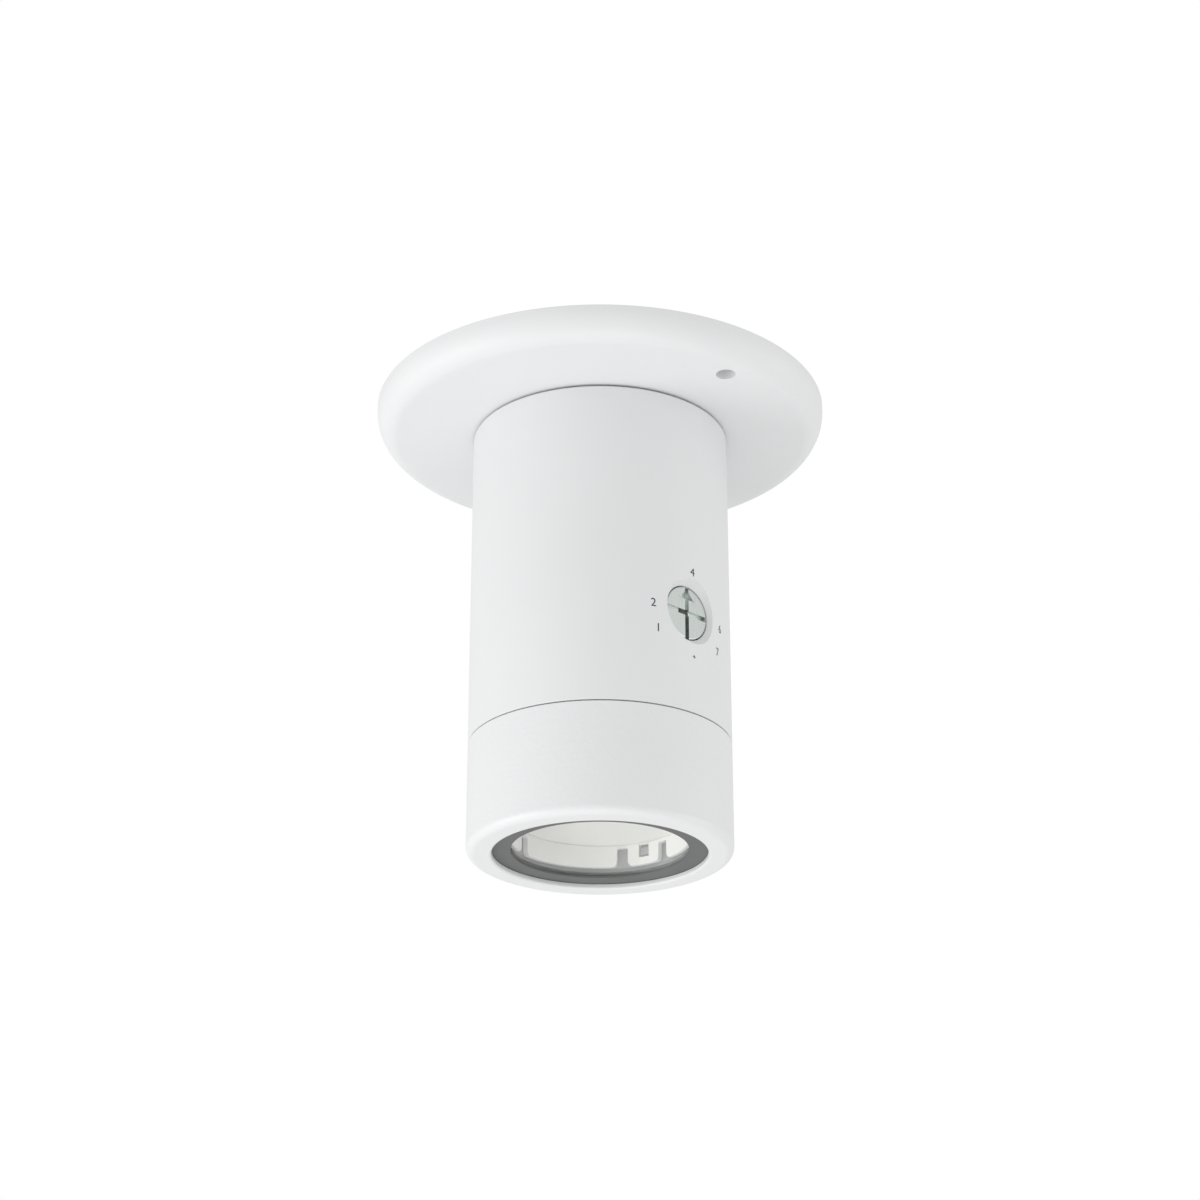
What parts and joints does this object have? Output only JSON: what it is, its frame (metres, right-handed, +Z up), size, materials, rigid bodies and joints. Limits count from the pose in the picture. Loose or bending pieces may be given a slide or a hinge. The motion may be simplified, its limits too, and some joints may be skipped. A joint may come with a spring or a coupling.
{
  "type": "ceiling strobe and sounder",
  "caption": "Round ceiling flange with a hanging white tube, a clear front glass in a screw-on bezel ring and a stepped level dial in its side.",
  "frame": {"origin": "centre of the flange's back face, in the ceiling plane", "axes": "+Z up into the ceiling; the unit hangs towards -Z; the level dial faces -Y"},
  "size_m": [0.106, 0.106, 0.1109],
  "materials": {
    "white_powder_coat": "fine-textured white powder coat",
    "grey_gasket": "matte dark grey rubber",
    "black_rubber": "matte",
    "clear_glass": "clear, polished",
    "white_reflector": "satin moulded white",
    "opal_plastic": "opal, slightly warm",
    "grey_carrier": "matte die-cast grey",
    "plated_dial": "satin nickel plate",
    "zinc_steel": "zinc plated",
    "cap_plastic": "moulded white",
    "green_board": "solder-masked board",
    "white_board": "white solder mask",
    "green_terminal": "moulded green",
    "black_plastic": "moulded black",
    "brass_disc": "rolled sheet",
    "can_sleeve": "shrink sleeve",
    "copper_winding": "enamelled copper wire",
    "lamp_phosphor": "pale yellow lamp",
    "red_wire": "smooth insulation",
    "black_wire": "smooth insulation"
  },
  "bodies": {
    "unit": {"ceiling_flange": "white_powder_coat", "housing_tube": "white_powder_coat", "rear_seal": "black_rubber", "flange_gasket": "black_rubber", "cable_grommet": "black_rubber", "dial_o_ring": "black_rubber", "reflector_cup": "white_reflector", "led_socket": "white_reflector", "opal_diffuser": "opal_plastic", "light_carrier": "grey_carrier", "main_screw_1": "zinc_steel", "main_screw_2": "zinc_steel", "main_screw_3": "zinc_steel", "board_screw_1": "zinc_steel", "board_screw_2": "zinc_steel", "board_screw_3": "zinc_steel", "carrier_screw_1": "zinc_steel", "carrier_screw_2": "zinc_steel", "carrier_screw_3": "zinc_steel", "terminal_screw_1": "zinc_steel", "terminal_screw_2": "zinc_steel", "terminal_screw_3": "zinc_steel", "terminal_screw_4": "zinc_steel", "top_cap": "cap_plastic", "terminal_board": "green_board", "driver_board": "green_board", "led_board": "white_board", "terminal_block": "green_terminal", "sounder_case": "black_plastic", "selector_body": "black_plastic", "controller_chip": "black_plastic", "board_socket": "black_plastic", "sounder_disc": "brass_disc", "storage_capacitor": "can_sleeve", "power_inductor": "copper_winding", "strobe_led_1": "lamp_phosphor", "strobe_led_2": "lamp_phosphor", "strobe_led_3": "lamp_phosphor", "strobe_led_4": "lamp_phosphor", "strobe_led_5": "lamp_phosphor", "strobe_led_6": "lamp_phosphor", "led_lead_red": "red_wire", "sounder_lead_red": "red_wire", "led_lead_black": "black_wire", "sounder_lead_black": "black_wire"},
    "dial": {"level_dial": "plated_dial", "selector_shaft": "zinc_steel", "dial_retaining_ring": "zinc_steel"},
    "lens_stack": {"lens_glass": "clear_glass", "lens_gasket": "grey_gasket"},
    "bezel": {"bezel_ring": "white_powder_coat"}
  },
  "joints": [
    {"name": "dial_turn", "type": "hinge", "parent": "unit", "child": "dial", "pos_m": [0, -0.0275, -0.0605], "axis": [0, 1, 0], "range_deg": [-135, 135]},
    {"name": "lens_drop", "type": "slide", "parent": "unit", "child": "lens_stack", "axis": [0, 0, -1], "range_m": [0, 0.0076]},
    {"name": "bezel_turn", "type": "hinge", "parent": "lens_stack", "child": "bezel", "pos_m": [0, 0, -0.098], "axis": [0, 0, -1], "range_deg": [0, 1080]}
  ],
  "couplings": [
    {"joint": "lens_drop", "follows": "bezel_turn", "m_per_rad": 0.00039789}
  ]
}
